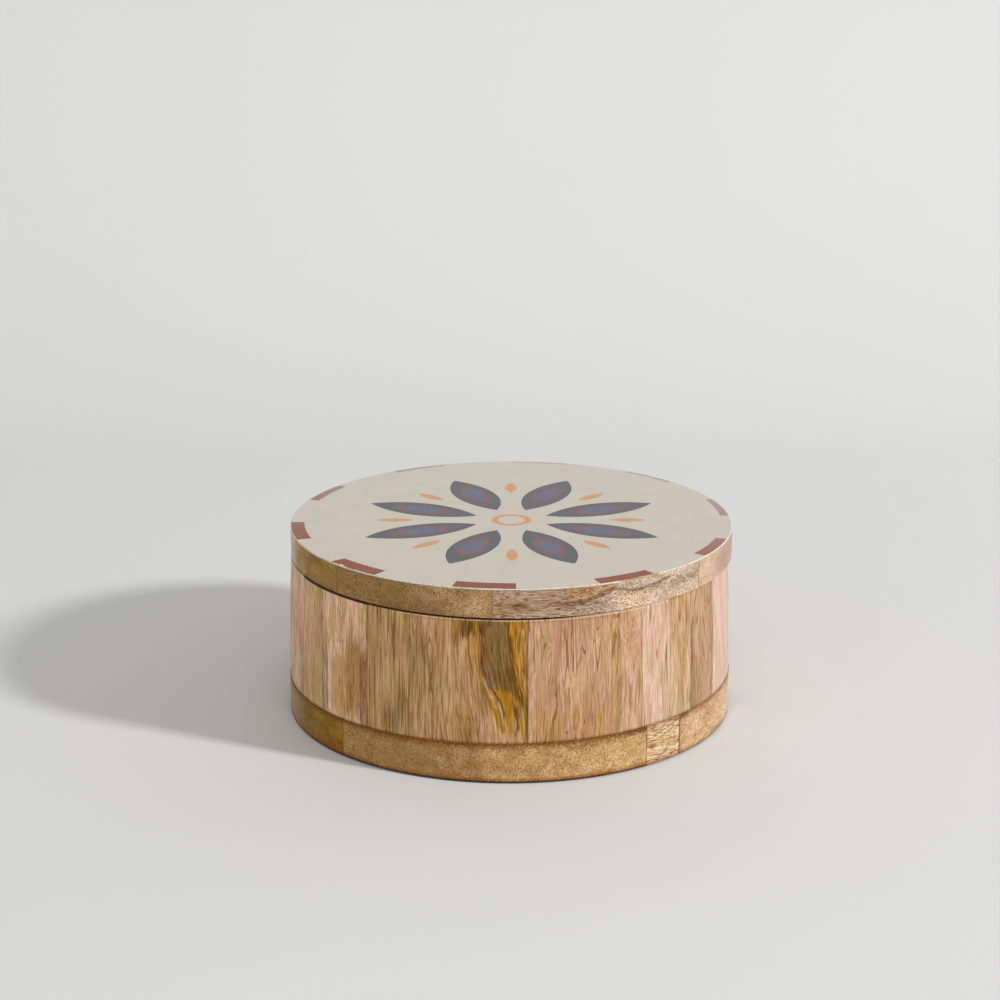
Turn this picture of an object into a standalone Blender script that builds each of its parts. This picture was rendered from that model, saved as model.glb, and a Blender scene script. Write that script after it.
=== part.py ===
"""Round keepsake box in mango wood: a base of glued boards, a wall of glued staves and a loose
lid of glued boards with an enamelled top.

Metres, +Z up. The origin is the centre of the underside and the front faces -Y. Angles round
the box are counted from the front towards +X. Each layer is first turned as one blank, and the
blank is then sawn apart at its glue joints, so every board and stave fits its neighbours."""

import math

import bmesh
import bpy
from mathutils import Vector

PARTS = "round_wooden_box"
LID_AXIS = "lid_axis"

# Wall
BODY_RADIUS = 0.1000
WALL_THICKNESS = 0.0100
STAVE_HEIGHT = 0.0552
WALL_TOP_EASE = 0.0007
WALL_FOOT_EASE = 0.0003

# Base
BASE_THICKNESS = 0.0173
BASE_OVERHANG = 0.0003
BASE_TOP_EASE = 0.0009
BASE_FOOT_EASE = 0.0012

# Lid
LID_THICKNESS = 0.0119
LID_FOOT_EASE = 0.0006
STEP_DEPTH = 0.0040
STEP_CLEARANCE = 0.0008
STEP_EASE = 0.0008
ENAMEL_THICKNESS = 0.0005
ENAMEL_EASE = 0.0002

# Gaps between neighbours
GLUE_GAP = 0.0003
SEAT_GAP = 0.0003

# Fineness of the round surfaces
TURN_STEPS = 120
EASE_STEPS = 3
MERGE_DISTANCE = 0.00001
SHARP_ANGLE = math.radians(30)

BASE_RADIUS = BODY_RADIUS + BASE_OVERHANG
INNER_RADIUS = BODY_RADIUS - WALL_THICKNESS
LID_RADIUS = BODY_RADIUS
STEP_RADIUS = INNER_RADIUS - STEP_CLEARANCE
WALL_FOOT = BASE_THICKNESS + GLUE_GAP
LID_SEAT = WALL_FOOT + STAVE_HEIGHT + SEAT_GAP
ENAMEL_FOOT = LID_THICKNESS + GLUE_GAP

# Joints between the boards, left to right, as shares of the panel's radius
LID_JOINT_SHARES = (-0.741, -0.075, 0.812)
BASE_JOINT_SHARES = (-0.721, 0.583, 0.733)

# Colours, as display values out of 255
CREAM = (226, 219, 205)
OLIVE_BROWN = (131, 104, 66)
GOLDEN_BROWN = (160, 126, 84)
DARK_OLIVE = (116, 88, 46)
WARM_TAN = (172, 136, 88)
GREY_TAN = (176, 146, 112)
PALE_CREAM = (214, 184, 152)
PALE_STRIP = (204, 172, 130)
TAN = (163, 128, 88)
ROSE_TAN = (176, 141, 112)
GOLDEN_TAN = (180, 142, 96)
SPALTED = (156, 122, 66)
PINK = (200, 158, 124)
SALMON = (206, 164, 130)
PALE_PINK = (218, 184, 156)
YELLOW_TAN = (200, 168, 122)
GREY_BROWN = (182, 148, 114)
BRIGHT_PINK = (226, 194, 172)

LID_COLOURS = (OLIVE_BROWN, GOLDEN_BROWN, GREY_TAN, PALE_CREAM)
BASE_COLOURS = (DARK_OLIVE, WARM_TAN, PALE_STRIP, GREY_TAN)

# Each stave's first joint, in degrees from the front, and its colour
STAVES = (
    (-65.9, ROSE_TAN),
    (-54.8, GOLDEN_TAN),
    (-37.5, TAN),
    (-25.4, SPALTED),
    (4.3, PINK),
    (25.5, SALMON),
    (34.3, PALE_PINK),
    (43.5, YELLOW_TAN),
    (51.8, GREY_BROWN),
    (63.5, BRIGHT_PINK),
    (84.0, TAN),
    (100.5, ROSE_TAN),
    (121.6, GOLDEN_TAN),
    (139.8, PINK),
    (163.4, TAN),
    (184.3, PALE_PINK),
    (205.2, GREY_BROWN),
    (223.6, ROSE_TAN),
    (248.5, YELLOW_TAN),
    (270.4, PALE_PINK),
)

WOOD_ROUGHNESS = 0.42
ENAMEL_ROUGHNESS = 0.22


def linear(display):
    """Linear RGBA of a colour given as display values out of 255."""
    channels = [value / 255 for value in display]
    return (*(c / 12.92 if c <= 0.04045 else ((c + 0.055) / 1.055) ** 2.4 for c in channels), 1.0)


def make_material(name, colour, roughness):
    material = bpy.data.materials.new(name)
    material.use_nodes = True
    shader = material.node_tree.nodes["Principled BSDF"]
    shader.inputs["Base Color"].default_value = linear(colour)
    shader.inputs["Roughness"].default_value = roughness
    shader.inputs["Metallic"].default_value = 0.0
    material.diffuse_color = linear(colour)
    return material


def eased_outline(corners):
    """Points of a square-cornered outline. A corner is (radius, height, ease), and one with an
    ease is rounded to that radius."""
    points = []
    for index, (radius, height, ease) in enumerate(corners):
        corner = Vector((radius, height))
        if not ease:
            points.append(corner)
            continue
        back = Vector(corners[index - 1][:2]) - corner
        ahead = Vector(corners[(index + 1) % len(corners)][:2]) - corner
        back.normalize()
        ahead.normalize()
        for step in range(EASE_STEPS + 1):
            turn = math.pi / 2 * step / EASE_STEPS
            reach = back * (1 - math.sin(turn)) + ahead * (1 - math.cos(turn))
            points.append(corner + ease * reach)
    return points


def turned_blank(name, corners, closed):
    """Mesh of the outline turned round the Z axis. The outline runs down its outer side. A
    closed one makes a ring, and an open one starts and ends on the axis."""
    points = eased_outline(corners)
    edges = [(i, i + 1) for i in range(len(points) - 1)]
    if closed:
        edges.append((len(points) - 1, 0))
    profile = bpy.data.meshes.new(name)
    profile.from_pydata([(point.x, 0, point.y) for point in points], edges, [])
    blank = bpy.data.objects.new(name, profile)
    bpy.context.scene.collection.objects.link(blank)
    screw = blank.modifiers.new("turned", "SCREW")
    screw.axis = "Z"
    screw.angle = 2 * math.pi
    screw.steps = screw.render_steps = TURN_STEPS
    screw.use_merge_vertices = True
    screw.merge_threshold = MERGE_DISTANCE
    graph = bpy.context.evaluated_depsgraph_get()
    mesh = bpy.data.meshes.new_from_object(blank.evaluated_get(graph))
    bpy.data.objects.remove(blank)
    bpy.data.meshes.remove(profile)
    return mesh


def sawn_mesh(name, blank, cuts):
    """Copy of the blank's mesh, cut off square at each plane and closed there. A cut is a point
    on the plane and the normal that points out of the piece."""
    bm = bmesh.new()
    bm.from_mesh(blank)
    for point, normal in cuts:
        geometry = bm.verts[:] + bm.edges[:] + bm.faces[:]
        bmesh.ops.bisect_plane(
            bm, geom=geometry, dist=MERGE_DISTANCE, plane_co=point, plane_no=normal, clear_outer=True
        )
        bmesh.ops.edgeloop_fill(bm, edges=[edge for edge in bm.edges if edge.is_boundary])
    bmesh.ops.recalc_face_normals(bm, faces=bm.faces[:])
    mesh = bpy.data.meshes.new(name)
    bm.to_mesh(mesh)
    bm.free()
    return mesh


def add_piece(name, mesh, colour, roughness, foot, parent=None):
    """Object that carries the mesh at the height of its foot, or on its parent."""
    mesh.name = name
    mesh.shade_smooth()
    mesh.set_sharp_from_angle(angle=SHARP_ANGLE)
    mesh.materials.clear()
    mesh.materials.append(make_material(name, colour, roughness))
    piece = bpy.data.objects.new(name, mesh)
    piece.parent = parent
    piece.location.z = foot
    bpy.data.collections[PARTS].objects.link(piece)
    return piece


def add_boards(name, blank, joint_shares, radius, colours, foot, parent=None):
    """Boards of a turned panel, numbered from left to right."""
    left, right = Vector((-1, 0, 0)), Vector((1, 0, 0))
    joints = [share * radius for share in joint_shares]
    for index, colour in enumerate(colours):
        cuts = []
        if index > 0:
            cuts.append((right * (joints[index - 1] + GLUE_GAP / 2), left))
        if index < len(joints):
            cuts.append((right * (joints[index] - GLUE_GAP / 2), right))
        board = f"{name}_{index + 1}"
        add_piece(board, sawn_mesh(board, blank, cuts), colour, WOOD_ROUGHNESS, foot, parent)
    bpy.data.meshes.remove(blank)


def sideways(degrees):
    """Unit vector at this angle round the box, towards the growing angle."""
    return Vector((math.cos(math.radians(degrees)), math.sin(math.radians(degrees)), 0))


def add_base():
    corners = (
        (0, BASE_THICKNESS, 0),
        (BASE_RADIUS, BASE_THICKNESS, BASE_TOP_EASE),
        (BASE_RADIUS, 0, BASE_FOOT_EASE),
        (0, 0, 0),
    )
    blank = turned_blank("base_blank", corners, closed=False)
    add_boards("base_board", blank, BASE_JOINT_SHARES, BASE_RADIUS, BASE_COLOURS, foot=0)


def add_wall():
    corners = (
        (INNER_RADIUS, STAVE_HEIGHT, WALL_TOP_EASE),
        (BODY_RADIUS, STAVE_HEIGHT, WALL_TOP_EASE),
        (BODY_RADIUS, 0, WALL_FOOT_EASE),
        (INNER_RADIUS, 0, 0),
    )
    blank = turned_blank("wall_blank", corners, closed=True)
    for index, (start, colour) in enumerate(STAVES):
        end = STAVES[(index + 1) % len(STAVES)][0]
        cuts = [
            (sideways(start) * GLUE_GAP / 2, -sideways(start)),
            (-sideways(end) * GLUE_GAP / 2, sideways(end)),
        ]
        stave = f"stave_{index + 1:02d}"
        add_piece(stave, sawn_mesh(stave, blank, cuts), colour, WOOD_ROUGHNESS, WALL_FOOT)
    bpy.data.meshes.remove(blank)


def add_lid():
    """The lid hangs on an empty on its lifting axis, level with the wall's top."""
    axis = bpy.data.objects.new(LID_AXIS, None)
    axis.location.z = LID_SEAT
    bpy.data.collections[PARTS].objects.link(axis)
    corners = (
        (0, LID_THICKNESS, 0),
        (LID_RADIUS, LID_THICKNESS, 0),
        (LID_RADIUS, 0, LID_FOOT_EASE),
        (STEP_RADIUS, 0, 0),
        (STEP_RADIUS, -STEP_DEPTH, STEP_EASE),
        (0, -STEP_DEPTH, 0),
    )
    blank = turned_blank("lid_blank", corners, closed=False)
    add_boards("lid_board", blank, LID_JOINT_SHARES, LID_RADIUS, LID_COLOURS, 0, axis)
    corners = (
        (0, ENAMEL_THICKNESS, 0),
        (LID_RADIUS, ENAMEL_THICKNESS, ENAMEL_EASE),
        (LID_RADIUS, 0, 0),
        (0, 0, 0),
    )
    disc = turned_blank("enamel_blank", corners, closed=False)
    add_piece("lid_enamel", disc, CREAM, ENAMEL_ROUGHNESS, ENAMEL_FOOT, axis)


def main():
    for old in list(bpy.data.objects):
        bpy.data.objects.remove(old)
    bpy.context.scene.collection.children.link(bpy.data.collections.new(PARTS))
    add_base()
    add_wall()
    add_lid()


main()
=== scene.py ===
"""Looks of a round keepsake box: staves and boards of mango wood, and a loose lid with an
enamelled top.

Metres, +Z up, in the frame's own place: the box stands on the floor at the origin and its front
faces -Y. Angles round the box are counted from the front towards +X. Textures, stained patches,
painted shade and painted highlights are laid out in millimetres, and colours are display values
out of 255."""

import math
import random
from dataclasses import dataclass, replace

import bmesh
import bpy
from mathutils import Matrix, Vector, noise
from mathutils.geometry import delaunay_2d_cdt


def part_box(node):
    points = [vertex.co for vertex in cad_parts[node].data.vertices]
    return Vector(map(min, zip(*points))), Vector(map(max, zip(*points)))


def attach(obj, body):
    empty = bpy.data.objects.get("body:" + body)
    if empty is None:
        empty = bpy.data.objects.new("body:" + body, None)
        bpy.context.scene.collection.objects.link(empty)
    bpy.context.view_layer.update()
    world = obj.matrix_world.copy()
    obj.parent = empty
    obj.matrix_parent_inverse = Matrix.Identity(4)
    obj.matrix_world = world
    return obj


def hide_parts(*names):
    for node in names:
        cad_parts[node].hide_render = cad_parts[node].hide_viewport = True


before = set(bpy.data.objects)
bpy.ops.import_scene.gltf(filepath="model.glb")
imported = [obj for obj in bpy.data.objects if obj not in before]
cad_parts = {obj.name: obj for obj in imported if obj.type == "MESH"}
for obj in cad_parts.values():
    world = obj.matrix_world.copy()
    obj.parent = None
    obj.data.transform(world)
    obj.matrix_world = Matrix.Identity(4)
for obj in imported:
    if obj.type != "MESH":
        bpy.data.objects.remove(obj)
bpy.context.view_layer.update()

MM = 0.001
UP = Vector((0, 0, 1))
RIGHT = Vector((1, 0, 0))

# Fineness of the turned surfaces
TURN_STEPS = 360
EASE_STEPS = 8
MERGE_DISTANCE = 0.000005
SHARP_ANGLE = math.radians(28)

# Finish of the wooden pieces
HAIRLINE = 0.00002
ARRIS = 0.00006
SQUARE_EDGE = math.radians(60)
WALL_TOP_EASE = 0.0007
WALL_INNER_EASE = 0.0009
WALL_FOOT_EASE = 0.00015
BASE_TOP_EASE = 0.0003
BASE_FOOT_EASE = 0.0003
LID_FOOT_EASE = 0.0003
LID_TOP_EASE = 0.0001
SEAT_DROP = 0.0002
STEP_EASE = 0.0008

# The lid is a hair smaller than the wall and sits a little to the right in its clearance
LID_INSET = 0.0006
LID_SHIFT = Vector((0.0008, 0, 0))

# The wall draws in towards its top, along a curve
WALL_TAPER = 0.0014
TAPER_POWER = 1.7
TAPER_STEPS = 8

# The base's top, and the wall's foot on it, lie a little higher at the right
SEAM_RISE = 0.0002
SEAM_TILT = 0.0105

# Enamel
ENAMEL_EASE = 0.00025
ENAMEL_FOOT_EASE = 0.00008
RIM_POINTS = 1080
BARE_LINE = 0.00012
BARE_LINE_WANDER = 0.00014
RIM_WOBBLE = 0.00004

# Border of painted dashes: each one's middle angle, and the size they share
DASH_MIDDLES = (-6.9, 29.6, 65.3, 102.0, 137.5, 171.7, 206.9, 242.9, 279.8, 316.3)
DASH_SPAN = 15.7
DASH_INNER = 0.0941
DASH_SHIFT = Vector((0.0008, 0.0028))
DASH_OVERRUN = 0.0010
ARC_STEP = math.radians(0.5)

# Chips in the enamel's rim: middle angle, half span in degrees, depth
RIM_CHIPS = (
    (-47.5, 3.5, 0.0005),
    (-41.0, 3.0, 0.0004),
    (-12.0, 1.2, 0.0003),
    (-6.3, 7.0, 0.0005),
    (58.0, 1.6, 0.0004),
    (121.0, 2.2, 0.0005),
    (203.0, 2.8, 0.0007),
    (256.0, 1.8, 0.0005),
)

# Worn spots by the rim: what shows, middle angle, radius, half span in degrees, half depth
WORN_SPOTS = (
    ("bare", -47.4, 0.0984, 0.8, 0.0006),
    ("pit", -44.4, 0.0990, 0.6, 0.0004),
    ("pit", -42.7, 0.0986, 0.6, 0.0004),
    ("bare", -38.4, 0.0993, 1.4, 0.0003),
    ("pit", -0.4, 0.0994, 0.5, 0.0004),
    ("bare", 26.0, 0.0990, 1.1, 0.0004),
    ("timber", 29.4, 0.0993, 2.0, 0.0006),
    ("timber", 33.4, 0.0992, 2.3, 0.0009),
    ("timber", 37.2, 0.0991, 1.4, 0.0007),
    ("timber", 204.0, 0.0992, 1.8, 0.0007),
)
SPOT_POINTS = 22

# Painted rosette
LEAVES = 8
LEAF_TIP = 0.0700
LEAF_FOOT = 0.0170
LEAF_WIDTH = 0.0190
LEAF_POINTS = 28
LEAF_LAYERS = (("slate", 1.0, 1.0), ("russet", 0.60, 0.62), ("blue", 0.40, 0.40))
SEED_TIP = 0.0610
SEED_FOOT = 0.0440
SEED_WIDTH = 0.0052
HEART_RADIUS = 0.0062
HEART_RING = 0.0090

# Camera and light
CAMERA_PLACE = (-0.0043, -1.0807, 0.4114)
CAMERA_PITCH = 16.31
CAMERA_LENS = 90
SENSOR = 36
FILL_STRENGTH = 0.405


@dataclass
class Lamp:
    """A round soft light that faces the box. Angles are in degrees, sizes in metres."""

    name: str
    bearing: float
    elevation: float
    distance: float
    width: float
    power: float


LAMPS = (
    Lamp("key_light", 65, 28, 6.0, 0.6, 298),
    Lamp("left_card", -55, 12, 2.4, 1.6, 6.6),
    Lamp("front_card", 0, 55, 2.4, 1.8, 10.4),
)

# Floor and backdrop, as one sheet, which lies a hair under the box
SHEET_DROP = 0.0006
SHEET_HALF_WIDTH = 3.2
SHEET_FRONT = -2.6
COVE_START = 0.42
COVE_RADIUS = 0.45
SHEET_TOP = 2.2
COVE_STEPS = 24


def linear(display):
    """Linear RGBA of a colour given as display values out of 255."""
    channels = [value / 255 for value in display]
    return (*(c / 12.92 if c <= 0.04045 else ((c + 0.055) / 1.055) ** 2.4 for c in channels), 1.0)


def outward(degrees):
    """Unit vector from the axis at this angle round the box."""
    return Vector((math.sin(math.radians(degrees)), -math.cos(math.radians(degrees)), 0))


def sideways(degrees):
    """Unit vector along the wall at this angle, towards the growing angle."""
    return Vector((math.cos(math.radians(degrees)), math.sin(math.radians(degrees)), 0))


# Measures of the frame


def corners(node):
    return [vertex.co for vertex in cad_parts[node].data.vertices]


def radius_of(co):
    return math.hypot(co.x, co.y)


def angle_of(co):
    """Angle round the box in degrees, from 0 at the front."""
    return math.degrees(math.atan2(co.x, -co.y))


def nodes_of(prefix):
    return sorted(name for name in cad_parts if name.startswith(prefix))


def widest(prefix, low=-1.0, high=1.0):
    """Largest radius that the nodes of this kind reach between two heights."""
    return max(
        radius_of(co) for name in nodes_of(prefix) for co in corners(name) if low <= co.z <= high
    )


def narrowest(prefix):
    return min(radius_of(co) for name in nodes_of(prefix) for co in corners(name))


def stave_joints():
    """The angle of each stave's first and last joint, halfway across the glue gaps."""
    spans = []
    for name in nodes_of("stave_"):
        places = corners(name)
        middle = angle_of(sum(places, Vector()) / len(places))
        turns = [(angle_of(co) - middle + 180) % 360 - 180 for co in places]
        spans.append((middle + min(turns), middle + max(turns)))
    joints = []
    for index, (start, end) in enumerate(spans):
        before = spans[index - 1][1]
        after = spans[(index + 1) % len(spans)][0]
        first = start - ((start - before + 180) % 360 - 180) / 2
        last = end + ((after - end + 180) % 360 - 180) / 2
        joints.append((first, last))
    return joints


def board_joints(prefix):
    """Where the joints between the boards of a panel lie along X."""
    boxes = [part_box(name) for name in nodes_of(prefix)]
    return [(left[1].x + right[0].x) / 2 for left, right in zip(boxes, boxes[1:])]


# Shapes


def eased_outline(corner_list):
    """Points of a square-cornered outline. A corner is (radius, height, ease), and one with an
    ease is rounded to that radius."""
    points = []
    for index, (radius, height, ease) in enumerate(corner_list):
        corner = Vector((radius, height))
        if not ease:
            points.append(corner)
            continue
        back = (Vector(corner_list[index - 1][:2]) - corner).normalized()
        ahead = (Vector(corner_list[(index + 1) % len(corner_list)][:2]) - corner).normalized()
        for step in range(EASE_STEPS + 1):
            turn = math.pi / 2 * step / EASE_STEPS
            reach = back * (1 - math.sin(turn)) + ahead * (1 - math.cos(turn))
            points.append(corner + ease * reach)
    return points


def turned_blank(corner_list, closed):
    """Mesh of the outline turned round the Z axis."""
    points = eased_outline(corner_list)
    edges = [(i, i + 1) for i in range(len(points) - 1)]
    if closed:
        edges.append((len(points) - 1, 0))
    profile = bpy.data.meshes.new("profile")
    profile.from_pydata([(point.x, 0, point.y) for point in points], edges, [])
    blank = bpy.data.objects.new("blank", profile)
    bpy.context.scene.collection.objects.link(blank)
    screw = blank.modifiers.new("turned", "SCREW")
    screw.axis = "Z"
    screw.angle = 2 * math.pi
    screw.steps = screw.render_steps = TURN_STEPS
    screw.use_merge_vertices = True
    screw.merge_threshold = MERGE_DISTANCE
    graph = bpy.context.evaluated_depsgraph_get()
    mesh = bpy.data.meshes.new_from_object(blank.evaluated_get(graph))
    bpy.data.objects.remove(blank)
    bpy.data.meshes.remove(profile)
    return mesh


def sawn_mesh(name, blank, cuts):
    """Copy of the blank, sawn off at each plane and closed there, its sawn arrises softened. A
    cut is a point on the plane and the normal that points out of the piece."""
    bm = bmesh.new()
    bm.from_mesh(blank)
    for point, normal in cuts:
        geometry = bm.verts[:] + bm.edges[:] + bm.faces[:]
        bmesh.ops.bisect_plane(
            bm, geom=geometry, dist=MERGE_DISTANCE, plane_co=point, plane_no=normal, clear_outer=True
        )
        bmesh.ops.edgeloop_fill(bm, edges=[edge for edge in bm.edges if edge.is_boundary])
    bmesh.ops.recalc_face_normals(bm, faces=bm.faces[:])
    square = [edge for edge in bm.edges if edge.calc_face_angle(0) > SQUARE_EDGE]
    bmesh.ops.bevel(bm, geom=square, offset=ARRIS, segments=1, affect="EDGES", clamp_overlap=True)
    mesh = bpy.data.meshes.new(name)
    bm.to_mesh(mesh)
    bm.free()
    return mesh


def add_piece(name, mesh, body, slot, materials, *replaced):
    """A finished piece that rides on a body and stands for the CAD nodes it replaces."""
    mesh.shade_smooth()
    mesh.set_sharp_from_angle(angle=SHARP_ANGLE)
    for material in materials:
        mesh.materials.append(material)
    piece = bpy.data.objects.new(name, mesh)
    bpy.context.scene.collection.objects.link(piece)
    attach(piece, body)
    if replaced:
        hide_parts(*replaced)
    return piece


# Shader graphs


class Graph:
    """Short calls that add shader nodes. A value is a number, a colour or a node's output."""

    def __init__(self, name):
        self.material = bpy.data.materials.new(name)
        self.material.use_nodes = True
        self.tree = self.material.node_tree
        self.shader = self.tree.nodes["Principled BSDF"]

    def put(self, socket, value):
        if isinstance(value, bpy.types.NodeSocket):
            self.tree.links.new(value, socket)
        else:
            socket.default_value = value

    def add(self, kind, inputs, output=0, **settings):
        made = self.tree.nodes.new("ShaderNode" + kind)
        for name, value in settings.items():
            setattr(made, name, value)
        for key, value in inputs.items():
            self.put(made.inputs[key], value)
        return made.outputs[output]

    def math(self, operation, first, second=0.0, clamp=False):
        return self.add("Math", {0: first, 1: second}, operation=operation, use_clamp=clamp)

    def sum(self, *terms):
        """Sum of (value, share) terms."""
        total = 0.0
        for value, share in terms:
            total = self.add("Math", {0: value, 1: share, 2: total}, operation="MULTIPLY_ADD")
        return total

    def product(self, first, *others):
        for other in others:
            first = self.math("MULTIPLY", first, other)
        return first

    def vector(self, operation, first, second=(0, 0, 0)):
        output = 1 if operation in ("DOT_PRODUCT", "LENGTH") else 0
        return self.add("VectorMath", {0: first, 1: second}, output, operation=operation)

    def stretched(self, vector, size):
        return self.add("VectorMath", {0: vector, 3: size}, operation="SCALE")

    def scaled(self, vector, size):
        """The vector measured in steps of the given size along each axis."""
        return self.vector("MULTIPLY", vector, tuple(1 / value for value in size))

    def ramp(self, value, low, high, to_low=0.0, to_high=1.0):
        """Smooth step from to_low to to_high as the value goes from low to high."""
        inputs = {"Value": value, "From Min": low, "From Max": high}
        inputs.update({"To Min": to_low, "To Max": to_high})
        return self.add("MapRange", inputs, interpolation_type="SMOOTHSTEP")

    def noise(self, vector, detail=2.0, roughness=0.5, output=0):
        inputs = {"Vector": vector, "Scale": 1.0, "Detail": detail, "Roughness": roughness}
        return self.add("TexNoise", inputs, output)

    def warped(self, vector, size, reach):
        """The vector pushed sideways by noise, up to about this far either way."""
        push = self.noise(self.scaled(vector, size), detail=1.0, output=1)
        push = self.vector("SUBTRACT", push, (0.5, 0.5, 0.5))
        return self.vector("ADD", vector, self.vector("MULTIPLY", push, (reach, reach, 0)))

    def cells(self, vector):
        """Distance to the nearest of scattered points, one to a step of the vector."""
        return self.add("TexVoronoi", {"Vector": vector, "Scale": 1.0})

    def mix(self, factor, first, second, kind="MIX"):
        made = self.tree.nodes.new("ShaderNodeMix")
        made.data_type = "RGBA"
        made.blend_type = kind
        self.put(made.inputs[0], factor)
        self.put(made.inputs[6], first)
        self.put(made.inputs[7], second)
        return made.outputs[2]

    def millimetres(self):
        """Place on the piece in millimetres, which stays with the piece when it moves."""
        place = self.add("TexCoord", {}, 3)
        return self.vector("MULTIPLY", place, (1 / MM, 1 / MM, 1 / MM))

    def height_of(self, place):
        return self.add("SeparateXYZ", {0: place}, 2)

    def curve(self, value, points):
        """Value read off a curve through (position, value) points, both from 0 to 1."""
        made = self.tree.nodes.new("ShaderNodeFloatCurve")
        line = made.mapping.curves[0]
        line.points[0].location = points[0]
        line.points[1].location = points[-1]
        for x, y in points[1:-1]:
            line.points.new(x, y)
        made.mapping.update()
        self.put(made.inputs["Value"], value)
        return made.outputs[0]

    def bump(self, height, depth):
        return self.add("Bump", {"Height": height, "Distance": depth, "Strength": 1.0})

    def finish(self, colour, roughness, normal, coat=0.0, coat_roughness=0.2, ior=1.5):
        self.put(self.shader.inputs["Base Color"], colour)
        self.put(self.shader.inputs["Roughness"], roughness)
        self.put(self.shader.inputs["Normal"], normal)
        self.shader.inputs["IOR"].default_value = ior
        self.shader.inputs["Coat Weight"].default_value = coat
        self.shader.inputs["Coat Roughness"].default_value = coat_roughness
        return self.material


# Wood

GRAIN_UP = (0.0, 0.0, 1.0)
GRAIN_DEEP = (0.0, 1.0, 0.0)
GRAIN_ACROSS = (0.996, 0.087, 0.0)

PORE_BROWN = (98, 60, 24)
GLUE_BROWN = (96, 62, 30)
LINE_TINT = (0.42, 0.32, 0.17, 1.0)
SHEEN_TINT = (1.22, 1.22, 1.24, 1.0)
ROSY_TINT = (1.06, 0.97, 1.08, 1.0)
GREENISH_TINT = (0.96, 1.01, 0.82, 1.0)


@dataclass
class StainOrPaintedLight:
    """A mark on a board's outer face, in millimetres: a stained patch, or painted shade or a painted
    highlight. An edge is one place, or the points that it runs through: (height, side) for left and
    right, and (side, height) for low and high. Sides are counted from the face's middle, and heights
    from its foot. A calm one hides pores."""

    colour: tuple
    strength: float
    left: object = -90.0
    right: object = 90.0
    low: object = -30.0
    high: object = 90.0
    soft: float = 0.6
    fade: float = 3.0
    ragged: float = 1.0
    patchy: float = 0.25
    calm: float = 0.0


@dataclass
class Wood:
    """How a board looks. Sizes are in millimetres, and the rest are strengths from 0 to 1."""

    pale: tuple
    mid: tuple
    deep: tuple
    grain: tuple = GRAIN_UP
    lines: float = 0.55
    long_lines: float = 0.75
    line_width: float = 0.42
    line_length: float = 8.0
    streaks: float = 0.35
    pores: float = 0.15
    pore_pitch: float = 1.1
    halo: float = 0.0
    wander: float = 1.0
    lean: float = 0.0
    tinted: float = 0.7
    glue: float = 0.25
    stains_and_painted_light: tuple = ()


@dataclass
class Face:
    """The outer face that a board's marks are laid out on, in millimetres: stained patches, painted
    shade and painted highlights. Its edging is the marks that run on from board to board, the painted
    shade and highlight along the wall's top among them, and its seam the end that lies on the tilted seam."""

    side: Vector
    middle: float
    half_width: float
    foot: float
    height: float
    edging: tuple = ()
    seam: str = ""


MARK_EDGE_REACH = 90.0
CONTOURS = 6.0
LEAN_TOP = 42.0


def stain_or_painted_light_edge(graph, edge, along, start, end):
    """Where the edge of a stained patch or of painted light lies at each place along it, from start to end."""
    if isinstance(edge, (int, float)):
        return edge
    share = graph.math("DIVIDE", graph.math("SUBTRACT", along, start), end - start, clamp=True)
    points = [((x - start) / (end - start), 0.5 + y / (2 * MARK_EDGE_REACH)) for x, y in sorted(edge)]
    from_middle = graph.math("SUBTRACT", graph.curve(share, points), 0.5)
    return graph.math("MULTIPLY", from_middle, 2 * MARK_EDGE_REACH)


def stain_or_painted_light_mask(graph, stain_or_painted_light, side, height, wobble, patches, face):
    """How strongly the stained patch or painted light shows, from 0 to its strength."""
    place = graph.sum((wobble, stain_or_painted_light.ragged), (side, 1.0))
    level = graph.sum((wobble, 3.0 * stain_or_painted_light.ragged), (height, 1.0))
    upright = (height, 0, face.height)
    level_way = (side, -face.half_width, face.half_width)
    left = graph.math("SUBTRACT", place, stain_or_painted_light_edge(graph, stain_or_painted_light.left, *upright))
    right = graph.math("SUBTRACT", stain_or_painted_light_edge(graph, stain_or_painted_light.right, *upright), place)
    above = graph.math("SUBTRACT", level, stain_or_painted_light_edge(graph, stain_or_painted_light.low, *level_way))
    below = graph.math("SUBTRACT", stain_or_painted_light_edge(graph, stain_or_painted_light.high, *level_way), level)
    across = [graph.ramp(inside, -stain_or_painted_light.soft, stain_or_painted_light.soft) for inside in (left, right)]
    along = [graph.ramp(inside, -stain_or_painted_light.fade, stain_or_painted_light.fade) for inside in (above, below)]
    streaky = graph.ramp(patches, 0.42, 0.58, stain_or_painted_light.strength * (1 - stain_or_painted_light.patchy), stain_or_painted_light.strength)
    return graph.product(streaky, *across, *along)


def seam_height(graph, place, height, face):
    """Height on a face that ends on the tilted seam, stretched as if the seam were level."""
    rise = graph.sum((graph.add("SeparateXYZ", {0: place}, 0), SEAM_TILT), (SEAM_RISE / MM, 1.0))
    if face.seam == "top":
        return graph.product(height, graph.math("DIVIDE", face.height, graph.math("ADD", rise, face.height)))
    above = graph.math("SUBTRACT", height, rise)
    return graph.product(above, graph.math("DIVIDE", face.height, graph.math("SUBTRACT", face.height, rise)))


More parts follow.
